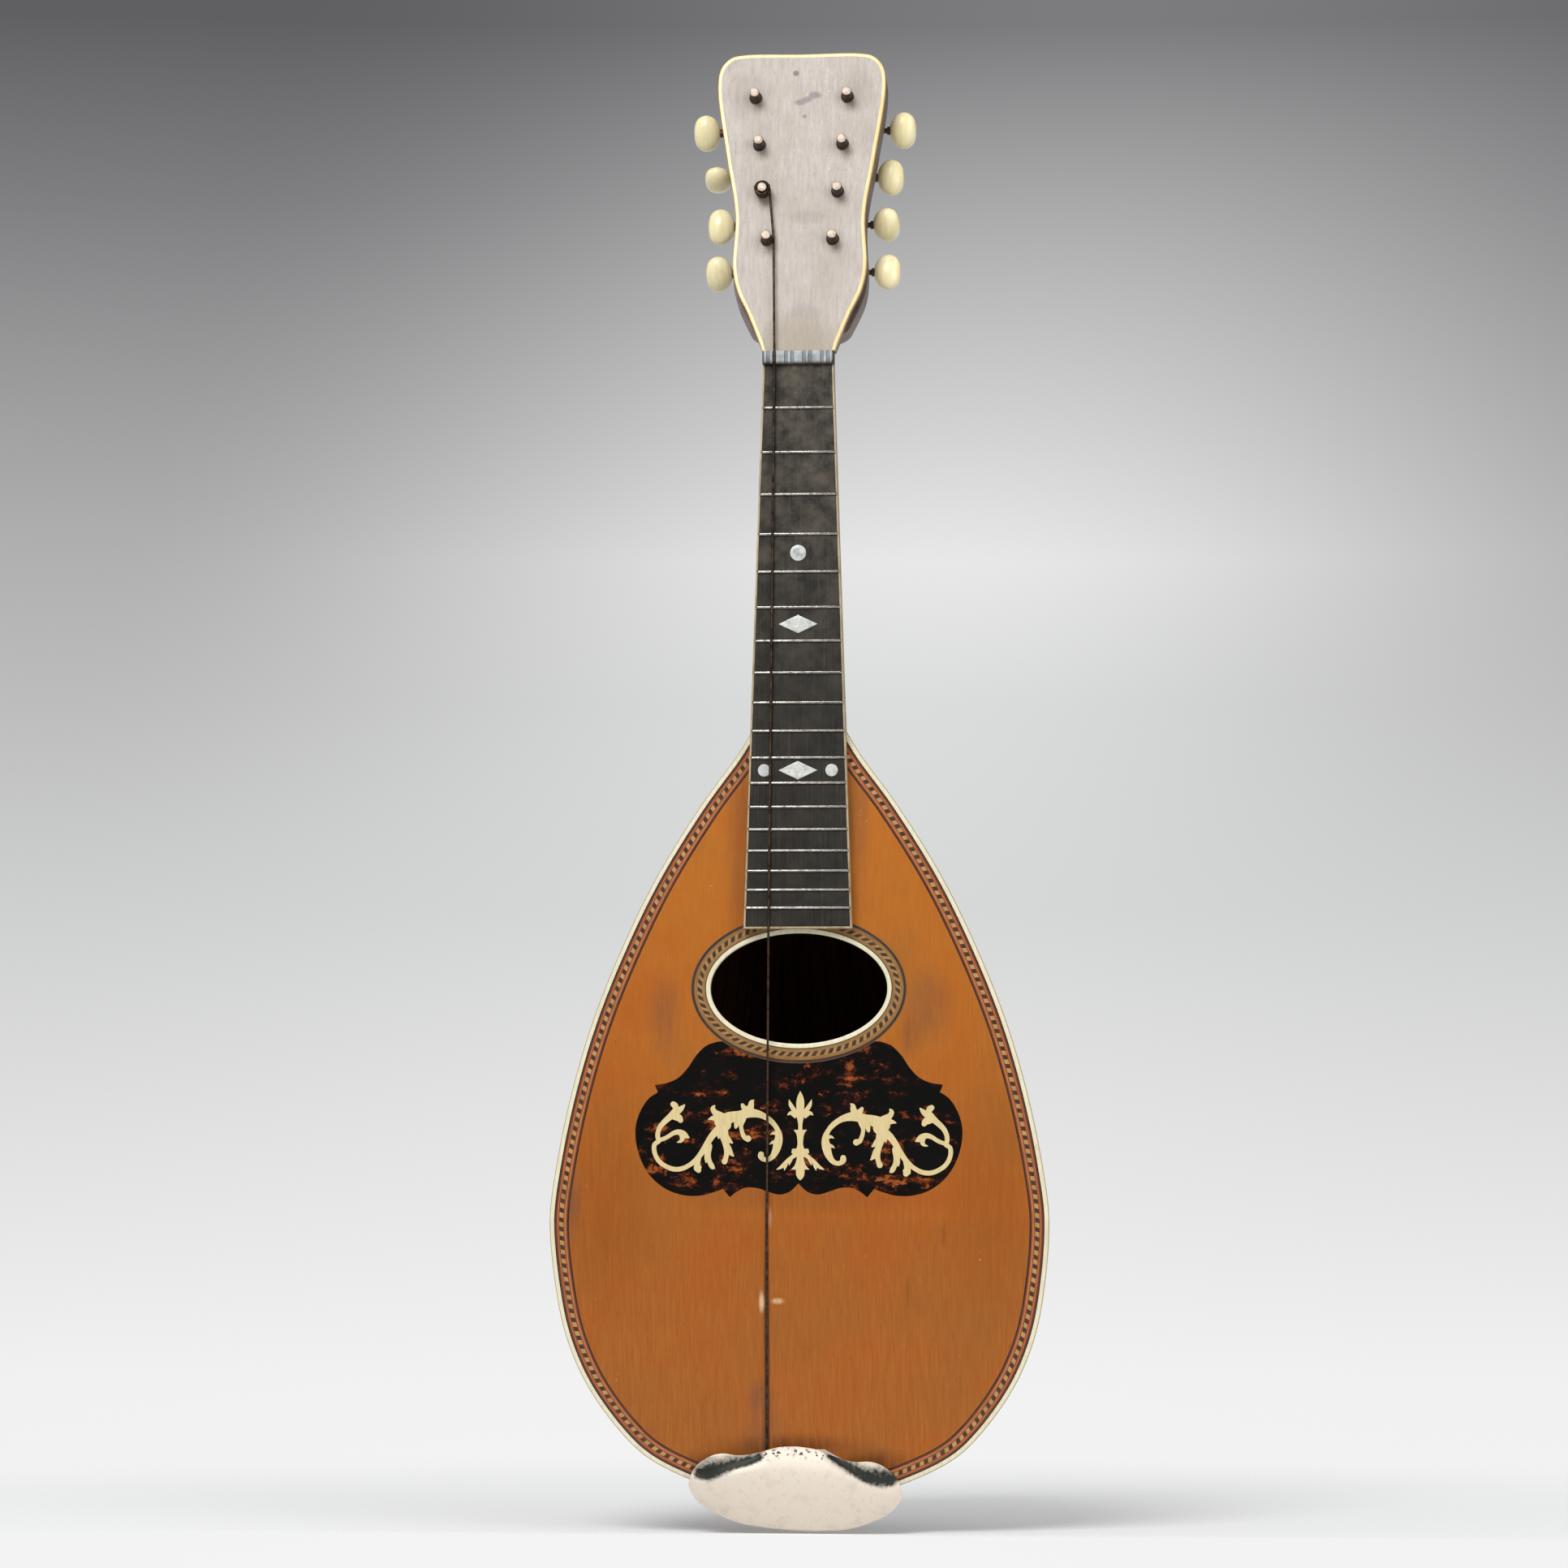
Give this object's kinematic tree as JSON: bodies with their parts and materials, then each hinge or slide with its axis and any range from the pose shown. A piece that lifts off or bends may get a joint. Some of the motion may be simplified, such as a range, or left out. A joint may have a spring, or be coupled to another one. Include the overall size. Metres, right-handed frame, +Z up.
{
  "type": "bowl back mandolin",
  "caption": "Bowl back mandolin with a canted soundboard, oval soundhole, inlaid guard, geared tuning machines and a sheet-metal tailpiece cover, without its bridge.",
  "frame": {"origin": "in the plane of the soundboard's face, on its centreline, level with the tail end of the body", "axes": "+Z up along the neck, -Y out of the soundboard's face, +X to the right of someone facing it"},
  "size_m": [0.193, 0.1441, 0.5786],
  "materials": {
    "spruce": "satin, aged spruce",
    "rib_wood": "gloss, dark rosewood",
    "inner_wood": "bare pale wood",
    "ivoroid": "aged cream, polished",
    "marquetry": "inlaid strips under varnish",
    "tortoiseshell": "black with brown mottling, polished",
    "neck_wood": "satin",
    "ebony": "satin",
    "pearl": "mother of pearl, polished",
    "grey_veneer": "worn satin",
    "machine_brass": "aged",
    "aged_steel": "worn, lightly rusted",
    "key_ivoroid": "aged cream button on a metal shaft",
    "silvered_metal": "tarnished silver plate",
    "wound_wire": "aged wound wire"
  },
  "bodies": {
    "instrument": {"soundboard": "spruce", "rib_01": "rib_wood", "rib_02": "rib_wood", "rib_03": "rib_wood", "rib_04": "rib_wood", "rib_05": "rib_wood", "rib_06": "rib_wood", "rib_07": "rib_wood", "rib_08": "rib_wood", "rib_09": "rib_wood", "rib_10": "rib_wood", "rib_11": "rib_wood", "tail_cap": "rib_wood", "tail_block": "inner_wood", "neck_block": "inner_wood", "lining_left": "inner_wood", "lining_right": "inner_wood", "brace_upper": "inner_wood", "brace_lower": "inner_wood", "brace_bridge": "inner_wood", "top_binding": "ivoroid", "soundhole_binding": "ivoroid", "scroll_left": "ivoroid", "scroll_right": "ivoroid", "scroll_middle": "ivoroid", "fingerboard_binding": "ivoroid", "headstock_binding": "ivoroid", "top_purfling": "marquetry", "rosette": "marquetry", "pickguard": "tortoiseshell", "neck": "neck_wood", "fingerboard": "ebony", "nut": "ebony", "marker_fifth": "pearl", "marker_seventh": "pearl", "marker_twelfth_left": "pearl", "marker_twelfth_middle": "pearl", "marker_twelfth_right": "pearl", "headstock_veneer": "grey_veneer", "tuner_plate_left": "machine_brass", "tuner_plate_right": "machine_brass", "tailpiece_base": "silvered_metal", "string": "wound_wire"},
    "key_left_1": {"key_left_1": "key_ivoroid"},
    "key_left_2": {"key_left_2": "key_ivoroid"},
    "key_left_3": {"key_left_3": "key_ivoroid"},
    "key_left_4": {"key_left_4": "key_ivoroid"},
    "key_right_1": {"key_right_1": "key_ivoroid"},
    "key_right_2": {"key_right_2": "key_ivoroid"},
    "key_right_3": {"key_right_3": "key_ivoroid"},
    "key_right_4": {"key_right_4": "key_ivoroid"},
    "post_left_1": {"post_left_1": "aged_steel"},
    "post_left_2": {"post_left_2": "aged_steel"},
    "post_left_3": {"post_left_3": "aged_steel"},
    "post_left_4": {"post_left_4": "aged_steel"},
    "post_right_1": {"post_right_1": "aged_steel"},
    "post_right_2": {"post_right_2": "aged_steel"},
    "post_right_3": {"post_right_3": "aged_steel"},
    "post_right_4": {"post_right_4": "aged_steel"},
    "tailpiece_cover": {"tailpiece_cover": "silvered_metal"}
  },
  "joints": [
    {"name": "key_left_1_turn", "type": "hinge", "parent": "instrument", "child": "key_left_1", "pos_m": [-0.0129, 0.02004, 0.48175], "axis": [1, 0, 0], "continuous": true},
    {"name": "post_left_1_turn", "type": "hinge", "parent": "instrument", "child": "post_left_1", "pos_m": [-0.0129, 0.00175, 0.49169], "axis": [0, 0.9903, -0.1392], "continuous": true},
    {"name": "key_left_2_turn", "type": "hinge", "parent": "instrument", "child": "key_left_2", "pos_m": [-0.01463, 0.02277, 0.50118], "axis": [1, 0, 0], "continuous": true},
    {"name": "post_left_2_turn", "type": "hinge", "parent": "instrument", "child": "post_left_2", "pos_m": [-0.01463, 0.00448, 0.51113], "axis": [0, 0.9903, -0.1392], "continuous": true},
    {"name": "key_left_3_turn", "type": "hinge", "parent": "instrument", "child": "key_left_3", "pos_m": [-0.01636, 0.0255, 0.52061], "axis": [1, 0, 0], "continuous": true},
    {"name": "post_left_3_turn", "type": "hinge", "parent": "instrument", "child": "post_left_3", "pos_m": [-0.01636, 0.00721, 0.53055], "axis": [0, 0.9903, -0.1392], "continuous": true},
    {"name": "key_left_4_turn", "type": "hinge", "parent": "instrument", "child": "key_left_4", "pos_m": [-0.01809, 0.02823, 0.54004], "axis": [1, 0, 0], "continuous": true},
    {"name": "post_left_4_turn", "type": "hinge", "parent": "instrument", "child": "post_left_4", "pos_m": [-0.01809, 0.00994, 0.54998], "axis": [0, 0.9903, -0.1392], "continuous": true},
    {"name": "key_right_1_turn", "type": "hinge", "parent": "instrument", "child": "key_right_1", "pos_m": [0.0129, 0.02004, 0.48175], "axis": [1, 0, 0], "continuous": true},
    {"name": "post_right_1_turn", "type": "hinge", "parent": "instrument", "child": "post_right_1", "pos_m": [0.0129, 0.00175, 0.49169], "axis": [0, 0.9903, -0.1392], "continuous": true},
    {"name": "key_right_2_turn", "type": "hinge", "parent": "instrument", "child": "key_right_2", "pos_m": [0.01463, 0.02277, 0.50118], "axis": [1, 0, 0], "continuous": true},
    {"name": "post_right_2_turn", "type": "hinge", "parent": "instrument", "child": "post_right_2", "pos_m": [0.01463, 0.00448, 0.51113], "axis": [0, 0.9903, -0.1392], "continuous": true},
    {"name": "key_right_3_turn", "type": "hinge", "parent": "instrument", "child": "key_right_3", "pos_m": [0.01636, 0.0255, 0.52061], "axis": [1, 0, 0], "continuous": true},
    {"name": "post_right_3_turn", "type": "hinge", "parent": "instrument", "child": "post_right_3", "pos_m": [0.01636, 0.00721, 0.53055], "axis": [0, 0.9903, -0.1392], "continuous": true},
    {"name": "key_right_4_turn", "type": "hinge", "parent": "instrument", "child": "key_right_4", "pos_m": [0.01809, 0.02823, 0.54004], "axis": [1, 0, 0], "continuous": true},
    {"name": "post_right_4_turn", "type": "hinge", "parent": "instrument", "child": "post_right_4", "pos_m": [0.01809, 0.00994, 0.54998], "axis": [0, 0.9903, -0.1392], "continuous": true},
    {"name": "tailpiece_cover_slide", "type": "slide", "parent": "instrument", "child": "tailpiece_cover", "axis": [0, -0.7071, -0.7071], "range_m": [0, 0.03]}
  ],
  "couplings": [
    {"joint": "post_left_1_turn", "follows": "key_left_1_turn", "ratio": 0.071429},
    {"joint": "post_left_2_turn", "follows": "key_left_2_turn", "ratio": 0.071429},
    {"joint": "post_left_3_turn", "follows": "key_left_3_turn", "ratio": 0.071429},
    {"joint": "post_left_4_turn", "follows": "key_left_4_turn", "ratio": 0.071429},
    {"joint": "post_right_1_turn", "follows": "key_right_1_turn", "ratio": 0.071429},
    {"joint": "post_right_2_turn", "follows": "key_right_2_turn", "ratio": 0.071429},
    {"joint": "post_right_3_turn", "follows": "key_right_3_turn", "ratio": 0.071429},
    {"joint": "post_right_4_turn", "follows": "key_right_4_turn", "ratio": 0.071429}
  ]
}
